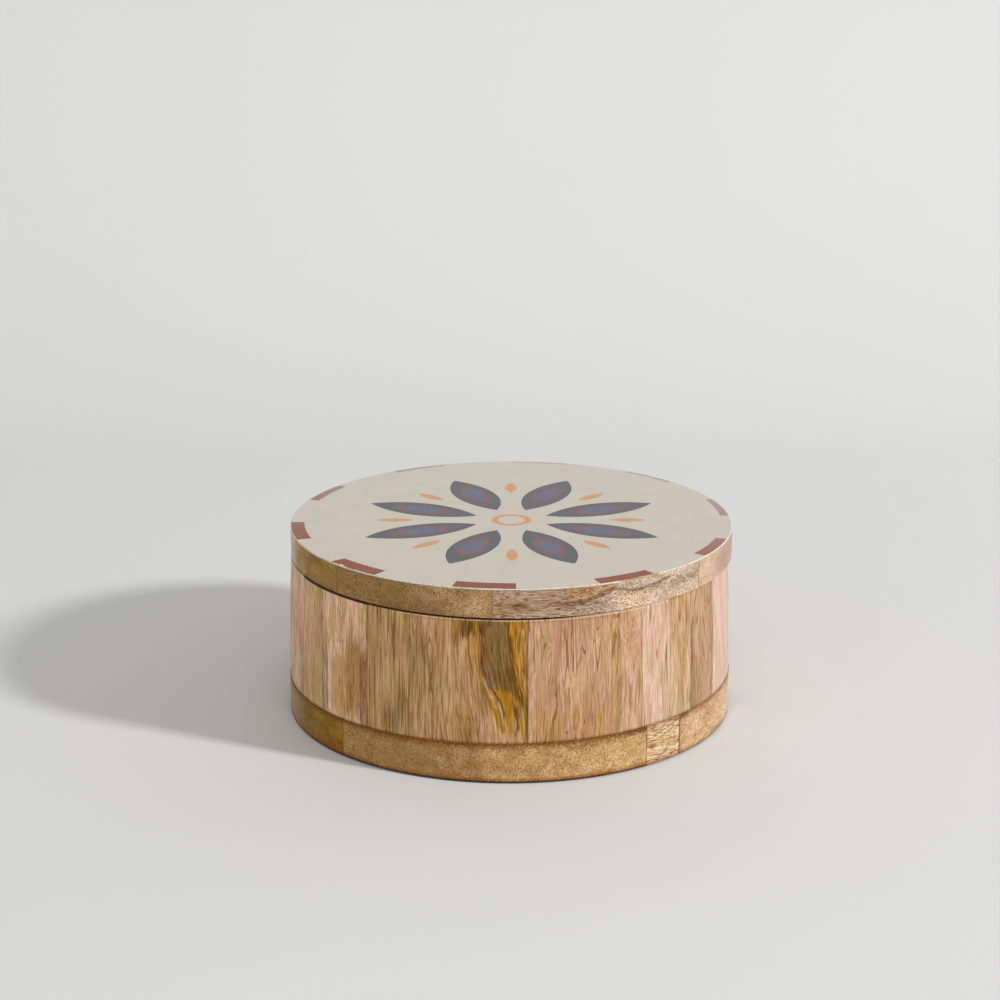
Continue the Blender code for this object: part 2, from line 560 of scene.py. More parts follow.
def wood_material(name, wood, face):
    """Mango wood as a solid: the same fibres and vessels show as lines along the grain and as
    specks across it."""
    rng = random.Random(name)
    graph = Graph(name)
    place = graph.millimetres()
    turn = Vector(wood.grain).rotation_difference(UP).to_euler()
    turned = graph.add("VectorRotate", {"Vector": place, "Rotation": turn}, rotation_type="EULER_XYZ")
    seed = tuple(rng.uniform(-400, 400) for _ in range(3))
    grain = graph.vector("ADD", turned, seed)

    # Stains, painted shade, painted highlights and the glue line are laid out on the board's outer face
    side = graph.vector("DOT_PRODUCT", place, tuple(face.side))
    side = graph.math("SUBTRACT", side, face.middle)
    height = graph.math("SUBTRACT", graph.height_of(place), face.foot)
    if face.seam:
        height = seam_height(graph, place, height, face)

    # The fibres drift and weave sideways as they run along the board, and may lean at its foot
    if wood.lean:
        drop = graph.math("MINIMUM", graph.math("SUBTRACT", height, LEAN_TOP), 0.0)
        push = graph.product(drop, graph.ramp(side, -20.0, 14.0), wood.lean)
        grain = graph.vector("ADD", grain, graph.stretched(tuple(face.side), push))
    bent = graph.warped(grain, (18, 18, 46), 4.5 * wood.wander)
    bent = graph.warped(bent, (3, 3, 14), 0.8 * wood.wander)
    width, length = wood.line_width, wood.line_length

    cloud = graph.noise(graph.scaled(bent, (6, 6, 45)), detail=3.0, roughness=0.6)
    streak = graph.noise(graph.scaled(bent, (1.9, 1.9, 28)), detail=2.0)
    line = graph.noise(graph.scaled(bent, (width, width, length)), detail=1.0, roughness=0.4)
    contour = graph.noise(graph.scaled(bent, (9 * width, 9 * width, 8 * length)), detail=0.0)
    broken = graph.noise(graph.scaled(bent, (2.4 * width, 2.4 * width, 2.6 * length)))
    patches = graph.noise(graph.scaled(bent, (0.8, 0.8, 8)), detail=2.0)
    fibre = graph.noise(graph.scaled(bent, (0.3, 0.3, 4)), detail=1.0)
    crowd = graph.noise(graph.scaled(bent, (3.0, 3.0, 26)), detail=1.0)
    pitch = wood.pore_pitch
    vessel = graph.cells(graph.scaled(bent, (pitch, pitch, 12)))

    ground = graph.mix(graph.ramp(cloud, 0.40, 0.60), linear(wood.pale), linear(wood.mid))
    tint = graph.noise(graph.scaled(bent, (5, 5, 16)), detail=1.0)
    ground = graph.mix(graph.ramp(tint, 0.50, 0.62, 0.0, wood.tinted), ground, ROSY_TINT, "MULTIPLY")
    ground = graph.mix(graph.ramp(tint, 0.38, 0.50, wood.tinted, 0.0), ground, GREENISH_TINT, "MULTIPLY")
    streaked = graph.product(graph.ramp(streak, 0.46, 0.68), wood.streaks)
    ground = graph.mix(streaked, ground, linear(wood.deep))

    wobble = graph.noise(graph.scaled(bent, (1.1, 1.1, 12)), detail=3.0, roughness=0.6)
    wobble = graph.sum((wobble, 4.0), (-2.0, 1.0))
    lively = 1.0
    for stain_or_painted_light in (*wood.stains_and_painted_light, *face.edging):
        mask = stain_or_painted_light_mask(graph, stain_or_painted_light, side, height, wobble, patches, face)
        ground = graph.mix(mask, ground, linear(stain_or_painted_light.colour))
        if stain_or_painted_light.calm:
            lively = graph.sum((graph.product(mask, lively), -stain_or_painted_light.calm), (lively, 1.0))

    # Thin dark lines run between paler fibres, some of them along the contours of the growth
    short_dark = graph.ramp(line, 0.54, 0.61, 0.0, wood.lines)
    from_contour = graph.math("PINGPONG", graph.math("MULTIPLY", contour, CONTOURS), 0.5)
    long_dark = graph.ramp(from_contour, 0.04, 0.12, wood.long_lines, 0.0)
    long_dark = graph.product(long_dark, graph.ramp(broken, 0.40, 0.50))
    dark = graph.math("MAXIMUM", short_dark, long_dark)
    colour = graph.mix(dark, ground, LINE_TINT, "MULTIPLY")
    light = graph.ramp(line, 0.36, 0.47, 1.0, 0.0)
    colour = graph.mix(graph.product(light, wood.lines), colour, SHEEN_TINT, "MULTIPLY")
    colour = graph.mix(graph.ramp(fibre, 0.35, 0.65, 0.0, 0.25), colour, LINE_TINT, "MULTIPLY")

    # Vessels are wider in some places, and end grain shows them in pale rings
    reach = graph.ramp(crowd, 0.35, 0.65, 0.14, 0.26)
    beyond = graph.math("SUBTRACT", vessel, reach)
    halo = graph.product(graph.ramp(beyond, 0.0, 0.25, 1.0, 0.0), wood.halo)
    colour = graph.mix(halo, colour, SHEEN_TINT, "MULTIPLY")
    pores = graph.ramp(beyond, -0.08, 0.06, 1.0, 0.0)
    colour = graph.mix(graph.product(pores, wood.pores, lively), colour, linear(PORE_BROWN))

    edge = graph.math("ABSOLUTE", side)
    edge = graph.ramp(edge, face.half_width - 0.55, face.half_width - 0.05, 0.0, wood.glue)
    colour = graph.mix(edge, colour, linear(GLUE_BROWN))

    normal = graph.bump(graph.sum((dark, -0.6), (pores, -0.6), (fibre, 0.5)), 0.03 * MM)
    rough = graph.sum((dark, 0.12), (cloud, 0.2), (0.28, 1.0))
    return graph.finish(colour, rough, normal, ior=1.22)


# The staves' woods, each in its own tones

MUSTARD = (168, 118, 13)
YELLOW = (178, 130, 8)
CORE_BROWN = (108, 62, 2)
CORE_OLIVE = (108, 78, 30)
CORE_LIGHT = (154, 132, 78)
ZONE_BROWN = (78, 48, 10)

CORE_LEFT = ((20, 10.6), (25.4, 9.9), (27.4, 8.5), (31.7, 6.4), (42, 5.7), (46.9, 5.3), (55, 4.6))
CORE_RIGHT = ((15, 25.5), (23, 22.3), (30, 20.5), (37.4, 19.3), (44.8, 18.6), (55, 16.6))
CORE_FOOT = ((-2, 30), (9.9, 25.4), (13.1, 24), (18.6, 22.6), (22.3, 20.1), (25.5, 16.5))
TONGUE_LEFT = ((4.6, 14.5), (7.6, 13.1), (15, 10.6), (18.4, 8.5), (24.8, 6.9))
TONGUE_RIGHT = ((4.7, 16.4), (7.7, 15.9), (15.1, 14.1), (18.5, 11.8), (23.9, 9.4))


def shifted(edge, step):
    """The edge moved sideways, or up where it is a low or high one."""
    return tuple((along, place + step) for along, place in edge)


SPALTING = (
    # Mustard and reddish brown streaks left of the core, and the yellow beside it
    StainOrPaintedLight((160, 112, 10), 0.85, -6.0, -2.2, low=45, fade=3, patchy=0.6),
    StainOrPaintedLight((120, 69, 7), 0.95, -2.2, 0.2, low=45.5, fade=2.5, soft=0.4),
    StainOrPaintedLight((110, 74, 0), 1.0, 0.2, 4.6, low=47, fade=1.5, soft=0.4),
    StainOrPaintedLight((162, 124, 8), 0.8, -1.3, 1.4, low=37, high=44, fade=1.5),
    StainOrPaintedLight(MUSTARD, 0.60, 0.0, 5.0, low=33, high=48, patchy=0.8),
    StainOrPaintedLight(YELLOW, 0.90, shifted(CORE_LEFT, -1.5), CORE_LEFT, low=27, fade=1.5, soft=0.4),
    # Yellow between the core and the joint, with brown dashes
    StainOrPaintedLight((192, 145, 54), 0.95, 15.0, 24.4, low=14, fade=4, patchy=0.1),
    StainOrPaintedLight(YELLOW, 0.70, 16.5, 20.5, low=36, soft=1.0, fade=4),
    StainOrPaintedLight((122, 70, 12), 0.65, 16.5, 24.0, low=14, fade=6, patchy=1.0),
    # The core: reddish brown at its upper left, olive at the right, dark and streaky at its foot
    StainOrPaintedLight(CORE_BROWN, 0.95, CORE_LEFT, CORE_RIGHT, low=CORE_FOOT, soft=0.5, fade=1.6),
    StainOrPaintedLight(CORE_OLIVE, 0.85, 10.0, shifted(CORE_RIGHT, -0.8), low=CORE_FOOT, soft=1.5, fade=3, patchy=0.5),
    StainOrPaintedLight(CORE_LIGHT, 0.65, 8.5, shifted(CORE_RIGHT, -0.6), low=24, high=58, soft=1.0, fade=4, patchy=1.0),
    StainOrPaintedLight((176, 170, 140), 0.70, ((20, 12), (30, 7.6), (40, 7.0)), ((20, 15), (30, 10.6), (40, 8.6)),
          low=25, high=36, soft=0.6, fade=3, patchy=1.0),
    StainOrPaintedLight((112, 76, 32), 0.55, 6.0, CORE_RIGHT, low=21, high=33, soft=1.0, fade=3, patchy=0.8),
    StainOrPaintedLight(ZONE_BROWN, 0.60, shifted(CORE_RIGHT, -1.0), shifted(CORE_RIGHT, 0.1), low=12, soft=0.4, patchy=0.6),
    # Two yellow tongues under the core, a dark line between them
    StainOrPaintedLight((166, 119, 4), 0.97, TONGUE_LEFT, TONGUE_RIGHT, low=4.5, high=25, soft=0.4, fade=1.2),
    StainOrPaintedLight((183, 131, 14), 0.97, ((3.7, 16.8), (12.7, 16.4), (17.6, 15.0), (23, 12.2)),
          ((3.7, 19.1), (10.2, 19.6), (16.1, 19.8), (22.1, 19.1)), low=3, high=23, soft=0.4, fade=1.5),
    StainOrPaintedLight(YELLOW, 0.80, 10.0, 15.5, low=18, high=24.5, soft=0.6, fade=1.5, patchy=0.6),
    StainOrPaintedLight((206, 186, 146), 0.70, shifted(TONGUE_RIGHT, -0.6), TONGUE_RIGHT, low=16, high=29, soft=0.3, fade=2),
    StainOrPaintedLight(ZONE_BROWN, 0.85, ((10, 16.1), (16.1, 14.6), (20.6, 12.6), (25.4, 9.4), (29.8, 7.1)),
          ((10, 16.9), (16.1, 15.5), (20.6, 13.6), (25.4, 10.4), (29.8, 8.1)),
          low=10, high=28, soft=0.3, fade=3, ragged=0.5, patchy=0.5),
    StainOrPaintedLight((134, 66, 6), 0.85, 16.4, 17.5, low=7, high=13, soft=0.3, fade=1.5),
    StainOrPaintedLight((170, 88, 10), 0.75, 17.8, 19.6, low=14, high=20, soft=0.6, fade=2, patchy=0.6),
    StainOrPaintedLight((88, 62, 26), 0.85, ((4.7, 20.3), (10.2, 20.7), (17.1, 19.3)), ((4.7, 21.7), (10.2, 22.1), (17.1, 20.7)),
          low=4, high=18, soft=0.4, fade=2),
    StainOrPaintedLight((190, 145, 52), 0.80, 22.0, 24.4, low=2, high=12, soft=0.5, fade=2),
    # The joint beside the next stave
    StainOrPaintedLight((142, 111, 64), 0.85, 24.5, 26.0, low=38, soft=0.3, ragged=0.2),
    StainOrPaintedLight((107, 71, 5), 0.80, 24.5, 26.0, high=38, soft=0.3, ragged=0.2),
    StainOrPaintedLight((104, 72, 22), 0.45, 24.2, 26.0, low=4, high=24, soft=0.4, fade=5, ragged=0.3),
    # A rosy patch left of the tongues
    StainOrPaintedLight((206, 164, 140), 0.60, 5.0, 13.0, low=0, high=11, soft=1.6, fade=3, patchy=0.6),
)

# Lines that run on along the wall's top edge: painted shade right under the lid, then a painted
# highlight on the arris over a thin olive line, and at the right an orange-brown line of lighter
# painted shade, where more light reaches the gap. A brown line runs along its foot.
RIM_PAINTED_SHADE = StainOrPaintedLight((50, 24, 4), 0.97, low=54.65, fade=0.2, ragged=0.0, patchy=0.0)
RIM_PAINTED_HIGHLIGHT = StainOrPaintedLight((236, 202, 172), 0.60, low=54.05, fade=0.2, ragged=0.0)
RIM_OLIVE = StainOrPaintedLight((152, 114, 52), 0.45, low=53.2, high=53.9, fade=0.3, ragged=0.05, patchy=0.5)
RIM_PAINTED_SOFT_SHADE = StainOrPaintedLight((150, 100, 46), 0.7, low=54.6, fade=0.4, ragged=0.1)
FOOT_BROWN = StainOrPaintedLight((116, 74, 26), 0.55, high=0.7, fade=0.7, ragged=0.15)

EDGINGS = {
    "stave_20": (replace(RIM_PAINTED_SHADE, strength=0.6, low=54.7), FOOT_BROWN),
    "stave_01": (replace(RIM_PAINTED_SHADE, low=54.3), FOOT_BROWN),
    "stave_02": (replace(RIM_PAINTED_SHADE, low=54.4), FOOT_BROWN),
    "stave_03": (replace(RIM_PAINTED_HIGHLIGHT, left=4.0, soft=4.0), RIM_PAINTED_SHADE, FOOT_BROWN),
    "stave_04": (RIM_PAINTED_HIGHLIGHT, RIM_OLIVE, RIM_PAINTED_SHADE, FOOT_BROWN),
    "stave_05": (RIM_PAINTED_HIGHLIGHT, RIM_OLIVE, replace(RIM_PAINTED_SHADE, right=4.0, soft=14.0), FOOT_BROWN),
    "stave_08": (RIM_PAINTED_SOFT_SHADE, FOOT_BROWN),
    "stave_09": (RIM_PAINTED_SOFT_SHADE, FOOT_BROWN),
    "stave_10": (RIM_PAINTED_SOFT_SHADE, FOOT_BROWN),
}
# Most staves carry the painted highlight on their top arris and the brown line along their foot
EDGING = (RIM_PAINTED_HIGHLIGHT, FOOT_BROWN)

STAVE_WOODS = {
    "stave_01": Wood((221, 182, 141), (202, 164, 116), (162, 122, 73), lines=0.5, long_lines=0.5),
    "stave_02": Wood(
        (247, 210, 187), (224, 182, 133), (191, 143, 89), lines=0.5, long_lines=0.5,
        stains_and_painted_light=(
            StainOrPaintedLight((150, 132, 92), 0.7, -15.2, -11.0, high=36, soft=0.8, fade=8),
            StainOrPaintedLight((92, 72, 38), 0.75, -15.4, -14.4, high=34, soft=0.3, fade=8, ragged=0.3),
            StainOrPaintedLight((104, 84, 44), 0.7, -11.8, -11.0, high=30, soft=0.3, ragged=0.5),
            StainOrPaintedLight((190, 142, 46), 0.75, -8.5, 8.0, low=3, high=28, soft=2.0, fade=6, ragged=1.6),
            StainOrPaintedLight((178, 132, 76), 0.9, 2.0, 12.0, low=3, high=38, soft=1.5, fade=6, patchy=0.1),
            StainOrPaintedLight((136, 82, 4), 0.9, 10.4, 14.8, low=8, high=33, soft=0.8, fade=5),
            StainOrPaintedLight((112, 74, 34), 0.7, 13.8, 15.2, low=30, soft=0.4, ragged=0.3),
            StainOrPaintedLight((128, 86, 44), 0.75, 10.8, 15.6, high=9, soft=0.5),
        ),
    ),
    "stave_03": Wood(
        (205, 167, 117), (182, 144, 91), (142, 104, 53), wander=0.4, lines=0.7, long_lines=0.3,
        line_width=0.75, line_length=26.0,
        stains_and_painted_light=(
            StainOrPaintedLight((140, 126, 84), 0.6, 2.0, 7.0, low=2, high=12, soft=1.0),
            StainOrPaintedLight((162, 112, 82), 0.5, 3.6, 7.6, low=33, high=46, soft=1.0),
        ),
    ),
    "stave_04": Wood(
        (212, 172, 128), (189, 150, 99), (151, 110, 61), wander=0.7, lean=0.14, line_width=0.5,
        line_length=12.0,
        stains_and_painted_light=(
            StainOrPaintedLight((166, 136, 84), 0.6, -25.0, -17.0, low=26, high=44, soft=2.0, fade=6),
            StainOrPaintedLight((118, 82, 34), 0.6, -19.0, -18.0, low=20, high=44, soft=0.4),
            StainOrPaintedLight((156, 110, 60), 0.55, -4.0, 9.0, high=34, soft=3.0, fade=6, patchy=0.6),
            *SPALTING,
        ),
    ),
    "stave_05": Wood(
        (203, 164, 135), (186, 147, 112), (153, 111, 70), wander=1.4, lines=0.4,
        long_lines=0.9, line_width=0.36, line_length=9.0,
        stains_and_painted_light=(
            StainOrPaintedLight((190, 148, 96), 0.6, -16.0, -12.6, low=-2, high=30, soft=1.0, fade=8),
            StainOrPaintedLight((192, 158, 92), 0.7, -13.0, -4.4, high=13, soft=1.4, fade=4),
            StainOrPaintedLight((104, 80, 52), 0.7, -9.4, -7.0, high=8, soft=0.7, fade=3),
            StainOrPaintedLight((178, 124, 88), 0.5, -11.0, -5.0, low=20, high=30, soft=1.6, fade=4),
            StainOrPaintedLight((164, 106, 46), 0.8, -3.8, -2.4, low=44, high=51, soft=0.4, fade=2),
            StainOrPaintedLight((180, 130, 62), 0.7, 1.2, 3.2, high=18, soft=0.6, fade=4),
            StainOrPaintedLight((176, 120, 50), 0.7, 4.8, 6.6, high=15, soft=0.6, fade=4),
            StainOrPaintedLight((188, 148, 84), 0.7, 12.0, 15.6, high=14, soft=0.8, fade=5),
            StainOrPaintedLight((182, 130, 68), 0.55, -16.0, 18.0, high=14, soft=1.0, fade=5, patchy=0.8),
        ),
    ),
    "stave_06": Wood(
        (207, 172, 143), (194, 154, 121), (168, 127, 88), lines=0.4, long_lines=0.7,
        line_width=0.34, line_length=9.0,
        stains_and_painted_light=(
            StainOrPaintedLight((190, 150, 98), 0.8, -8.0, -3.4, soft=0.6),
            StainOrPaintedLight((122, 88, 34), 0.8, -7.2, -6.0, low=36, high=46, soft=0.4, fade=2),
            StainOrPaintedLight((120, 84, 44), 0.7, -4.6, -3.4, low=38, soft=0.3),
            StainOrPaintedLight((150, 114, 80), 0.7, -5.4, -2.6, low=1, high=26, soft=0.7),
            StainOrPaintedLight((222, 150, 116), 0.4, 0.8, 2.2, low=32, high=52, soft=0.5),
        ),
    ),
    "stave_07": Wood(
        (215, 187, 165), (201, 169, 142), (167, 129, 95), wander=1.5, lines=0.25, long_lines=0.9,
        line_width=0.40, line_length=11.0,
    ),
    "stave_08": Wood((202, 174, 141), (189, 155, 114), (154, 119, 75), line_length=12.0),
    "stave_09": Wood(
        (191, 157, 127), (170, 137, 101), (136, 105, 72),
        stains_and_painted_light=(
            StainOrPaintedLight((128, 106, 76), 0.6, -10.4, -7.0, high=34, soft=1.0, fade=8),
        ),
    ),
    "stave_10": Wood((213, 185, 171), (204, 172, 153), (184, 150, 127), lines=0.3, long_lines=0.3, pores=0.05),
    "stave_20": Wood(
        (233, 197, 169), (217, 176, 142), (179, 138, 97),
        stains_and_painted_light=(
            StainOrPaintedLight((140, 118, 64), 0.45, 16.0, 20.8, high=34, soft=0.8, fade=8),
        ),
    ),
}

OTHER_STAVE_WOODS = (
    Wood((214, 178, 142), (196, 156, 118), (166, 124, 84)),
    Wood((206, 172, 128), (186, 148, 100), (150, 112, 66)),
    Wood((222, 186, 160), (204, 164, 136), (170, 128, 98)),
)

# The boards' end grain, level with the floor

# Painted shade along the lid boards' lower edge, above the gap on the wall
LID_PAINTED_SHADE = StainOrPaintedLight((50, 22, 4), 0.95, high=0.1, fade=0.1, ragged=0.0, patchy=0.0)

LID_WOODS = (
    Wood(
        (177, 139, 64), (152, 114, 47), (131, 91, 30), grain=GRAIN_DEEP, lines=0.15, long_lines=0.0, pores=0.1, tinted=0.3,
        stains_and_painted_light=(
            StainOrPaintedLight((124, 78, 44), 0.6, 0.0, 6.0, low=9.5, soft=1.5, fade=1.0),
            StainOrPaintedLight((166, 130, 66), 0.6, 3.0, 14.0, high=9.0, soft=3.0, fade=2.0),
            # Painted shade: the lower edge darker above the gap
            StainOrPaintedLight((104, 72, 12), 0.6, -10.0, 12.0, high=0.9, soft=1.0, fade=0.7),
            # Painted reflection: the left end paler, where the edge turns from view and mirrors the bright
            # surroundings
            StainOrPaintedLight((226, 208, 194), 0.85, -20.0, -7.5, soft=3.0),
            LID_PAINTED_SHADE,
        ),
    ),
    Wood(
        (187, 152, 111), (162, 126, 82), (134, 98, 55), grain=GRAIN_DEEP, lines=0.6, line_width=0.6,
        long_lines=0.0, pores=0.85, pore_pitch=0.95, halo=0.8, tinted=0.4,
        stains_and_painted_light=(
            StainOrPaintedLight((144, 111, 52), 0.7, -40.0, 1.0, soft=8.0, ragged=2.0, calm=0.8),
            StainOrPaintedLight((120, 84, 40), 0.5, -14.0, 14.0, high=3.0, soft=8.0, fade=2.0),
            StainOrPaintedLight((206, 168, 126), 0.6, 22.0, 32.0, low=1.0, high=9.0, soft=3.0, fade=2.0),
            LID_PAINTED_SHADE,
        ),
    ),
    Wood(
        (204, 186, 172), (177, 154, 134), (124, 98, 72), grain=GRAIN_ACROSS, lines=0.85,
        long_lines=0.4, line_width=0.42, line_length=3.4, pores=0.8, pore_pitch=0.95, streaks=0.4, halo=0.4,
        tinted=0.25,
        stains_and_painted_light=(
            StainOrPaintedLight((84, 60, 28), 0.8, -38.0, -29.0, low=4.8, high=6.6, soft=2.0, fade=0.5, ragged=0.3),
            StainOrPaintedLight((162, 118, 60), 0.65, -45.0, -34.0, soft=5.0),
            StainOrPaintedLight((140, 102, 50), 0.6, -34.0, 4.0, soft=4.0, patchy=0.5),
            StainOrPaintedLight((186, 138, 92), 0.5, -14.0, 8.0, low=7.5, soft=3.0, fade=1.5),
            StainOrPaintedLight((106, 76, 42), 0.75, -16.0, 7.0, soft=2.0, fade=0.7, ragged=0.3,
                  low=((-14, 4.2), (-4, 5.3), (2, 7.2), (6, 9.0)),
                  high=((-14, 6.4), (-4, 7.8), (2, 9.8), (6, 11.2))),
            StainOrPaintedLight((236, 206, 172), 0.6, 8.0, 24.0, high=7.0, soft=4.0, fade=1.5, ragged=1.5),
            StainOrPaintedLight((220, 192, 166), 0.5, 28.0, 46.0, soft=4.0),
            StainOrPaintedLight((106, 86, 60), 0.8, 5.0, 31.0, soft=1.0, fade=0.4, ragged=0.15,
                  low=((5, 9.8), (9, 9.0), (13, 7.8), (18, 7.3), (22, 7.8), (30, 9.4)),
                  high=((5, 11.0), (9, 10.2), (13, 9.0), (18, 8.6), (22, 9.1), (30, 10.6))),
            StainOrPaintedLight((116, 104, 84), 0.65, 31.0, 44.0, low=5.2, high=8.8, soft=1.6, fade=1.0),
            replace(LID_PAINTED_SHADE, right=-6.0, soft=14.0),
        ),
    ),
    Wood(
        (208, 181, 163), (195, 165, 139), (176, 141, 102), grain=GRAIN_DEEP, lines=0.35, long_lines=0.0, pores=0.25,
        stains_and_painted_light=(StainOrPaintedLight((158, 132, 114), 0.75, 0.5, 20.0, soft=3.0),),
    ),
)

# Brown lines along the base's top by the joint, a brown band along its foot, and under it a near-black line of
# painted shade where the base meets the floor
BASE_SEAM_AND_FOOT_SHADE = (
    StainOrPaintedLight((128, 78, 14), 0.7, low=14.8, fade=1.3, ragged=0.4),
    StainOrPaintedLight((112, 66, 8), 0.8, low=16.3, fade=0.5, ragged=0.2),
    StainOrPaintedLight((150, 84, 26), 0.7, high=1.9, fade=0.7, ragged=0.2),
    # Painted shade: a near-black line along the foot, where the base meets the floor
    StainOrPaintedLight((52, 30, 8), 0.9, high=0.75, fade=0.25, ragged=0.05),
)

# The right boards show them less, and there the painted shade along the foot is fainter, as the key light reaches
# it
FAINT_SEAM_AND_FOOT_SHADE = tuple(replace(stain_or_painted_light, strength=0.6 * stain_or_painted_light.strength) for stain_or_painted_light in BASE_SEAM_AND_FOOT_SHADE)

BASE_WOODS = (
    Wood(
        (164, 127, 39), (134, 99, 23), (108, 73, 12), grain=GRAIN_DEEP, lines=0.2, long_lines=0.0, pores=0.1,
        tinted=0.3,
        # The first mark is a painted reflection: the left end paler, where the edge turns from view and mirrors the
        # bright surroundings
        stains_and_painted_light=(StainOrPaintedLight((200, 172, 140), 0.6, -30.0, -7.0, soft=5.0), StainOrPaintedLight((150, 88, 22), 0.8, -4.0, 16.0, high=5.0, soft=3.0, fade=2.0), *BASE_SEAM_AND_FOOT_SHADE),
    ),
    Wood(
        (207, 171, 124), (176, 140, 91), (147, 109, 59), grain=GRAIN_DEEP, lines=0.6,
        line_width=0.6, long_lines=0.0, pores=0.7, pore_pitch=0.95, halo=0.9, tinted=0.35,
        stains_and_painted_light=(
            StainOrPaintedLight((164, 123, 60), 0.7, -80.0, -24.0, soft=9.0, ragged=2.0, calm=0.7),
            StainOrPaintedLight((152, 111, 48), 0.55, -22.0, -4.0, soft=5.0, calm=0.4),
            StainOrPaintedLight((188, 144, 78), 0.5, -4.0, 18.0, low=7.0, high=13.0, soft=4.0, fade=2.5),
            StainOrPaintedLight((232, 202, 150), 0.25, 30.0, 66.0, low=2.0, high=14.0, soft=6.0, fade=3.0, ragged=2.0),
            StainOrPaintedLight((176, 124, 70), 0.65, 26.0, 60.0, low=6.0, high=13.0, soft=5.0, fade=3.0, ragged=2.0, patchy=0.9),
            StainOrPaintedLight((128, 84, 36), 0.5, 26.0, 58.0, low=13.0, soft=4.0, fade=1.2, ragged=0.6, patchy=0.9),
            *BASE_SEAM_AND_FOOT_SHADE,
            StainOrPaintedLight((92, 64, 34), 0.8, 56.0, 66.0, low=15.4, soft=1.5, fade=0.6, ragged=0.3),
        ),
    ),
    Wood(
        (219, 193, 159), (201, 167, 128), (161, 122, 78), grain=(0.82, 0.57, 0.0), lines=0.9,
        line_width=0.5, line_length=4.0, glue=0.7, stains_and_painted_light=FAINT_SEAM_AND_FOOT_SHADE,
    ),
    Wood(
        (206, 174, 135), (185, 148, 112), (151, 113, 74), grain=GRAIN_DEEP, lines=0.5,
        line_width=0.7, long_lines=0.0, pores=0.4, glue=0.8, halo=0.8,
        stains_and_painted_light=(
            StainOrPaintedLight((222, 192, 166), 0.5, 8.0, 20.0, soft=3.0),
            *FAINT_SEAM_AND_FOOT_SHADE,
            StainOrPaintedLight((92, 70, 40), 0.8, -14.0, -9.0, low=15.4, soft=1.0, fade=0.6, ragged=0.3),
        ),
    ),
)


def tilt_seam(blank, low, high):
    """Moves the end of the blank that lies between two heights onto the tilted seam."""
    for vertex in blank.vertices:
        if low < vertex.co.z < high:
            vertex.co.z += SEAM_RISE + SEAM_TILT * vertex.co.x


def add_boards(prefix, body, slot, blank, woods, foot, top, seam=""):
    """Boards of a turned panel, sawn apart along X. Their outer face runs from foot to top."""
    names = nodes_of(prefix)
    radius = widest(prefix)
    joints = [-radius, *board_joints(prefix), radius]
    for index, name in enumerate(names):
        low, high = joints[index], joints[index + 1]
        cuts = []
        if index > 0:
            cuts.append((RIGHT * (low + HAIRLINE), -RIGHT))
        if index < len(names) - 1:
            cuts.append((RIGHT * (high - HAIRLINE), RIGHT))
        middle, half_width = (low + high) / 2, (high - low) / 2
        face = Face(RIGHT, middle / MM, half_width / MM, foot / MM, (top - foot) / MM, seam=seam)
        material = wood_material(f"{name}_wood", woods[index], face)
        add_piece(f"{name}_shown", sawn_mesh(name, blank, cuts), body, slot, [material], name)
    bpy.data.meshes.remove(blank)


def add_base():
    radius = widest("base_board_")
    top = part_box("base_board_1")[1].z
    corner_list = (
        (0, top, 0),
        (radius, top, BASE_TOP_EASE),
        (radius, 0, BASE_FOOT_EASE),
        (0, 0, 0),
    )
    blank = turned_blank(corner_list, False)
    tilt_seam(blank, top / 2, top * 2)
    add_boards("base_board_", "box", "base_wood", blank, BASE_WOODS, 0, top, "top")


def add_wall():
    radius = widest("stave_")
    inner = narrowest("stave_")
    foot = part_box("base_board_1")[1].z + HAIRLINE
    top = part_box("stave_01")[1].z
    bow = []
    for step in range(TAPER_STEPS - 1, 0, -1):
        share = step / TAPER_STEPS
        bow.append((radius - WALL_TAPER * share**TAPER_POWER, foot + (top - foot) * share, 0))
    corner_list = (
        (inner, top, WALL_INNER_EASE),
        (radius - WALL_TAPER, top, WALL_TOP_EASE),
        *bow,
        (radius, foot, WALL_FOOT_EASE),
        (inner, foot, 0),
    )
    blank = turned_blank(corner_list, True)
    tilt_seam(blank, 0, (foot + top) / 2)
    for index, (name, (start, end)) in enumerate(zip(nodes_of("stave_"), stave_joints())):
        cuts = [
            (sideways(start) * HAIRLINE, -sideways(start)),
            (-sideways(end) * HAIRLINE, sideways(end)),
        ]
        middle = (start + end) / 2
        half_width = radius * math.sin(math.radians(end - start) / 2)
        edging = EDGINGS.get(name, EDGING)
        face = Face(
            sideways(middle), 0.0, half_width / MM, foot / MM, (top - foot) / MM, edging, "foot"
        )
        wood = STAVE_WOODS.get(name, OTHER_STAVE_WOODS[index % len(OTHER_STAVE_WOODS)])
        material = wood_material(f"{name}_wood", wood, face)
        add_piece(f"{name}_shown", sawn_mesh(name, blank, cuts), "box", "wall_wood", [material], name)
    bpy.data.meshes.remove(blank)


def add_lid_boards():
    low = min(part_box(name)[0].z for name in nodes_of("lid_board_"))
    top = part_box("lid_enamel")[0].z - HAIRLINE
    step_radius = widest("lid_board_", high=low + STEP_EASE * 2)
    seat = min(
        co.z for name in nodes_of("lid_board_") for co in corners(name) if radius_of(co) > step_radius + MM
    ) - SEAT_DROP
    radius = widest("lid_board_") - LID_INSET
    corner_list = (
        (0, top, 0),
        (radius, top, LID_TOP_EASE),
        (radius, seat, LID_FOOT_EASE),
        (step_radius, seat, 0),
        (step_radius, low, STEP_EASE),
        (0, low, 0),
    )
    blank = turned_blank(corner_list, False)
    blank.transform(Matrix.Translation(LID_SHIFT))
    add_boards("lid_board_", "lid", "lid_wood", blank, LID_WOODS, seat, top)


# Enamel


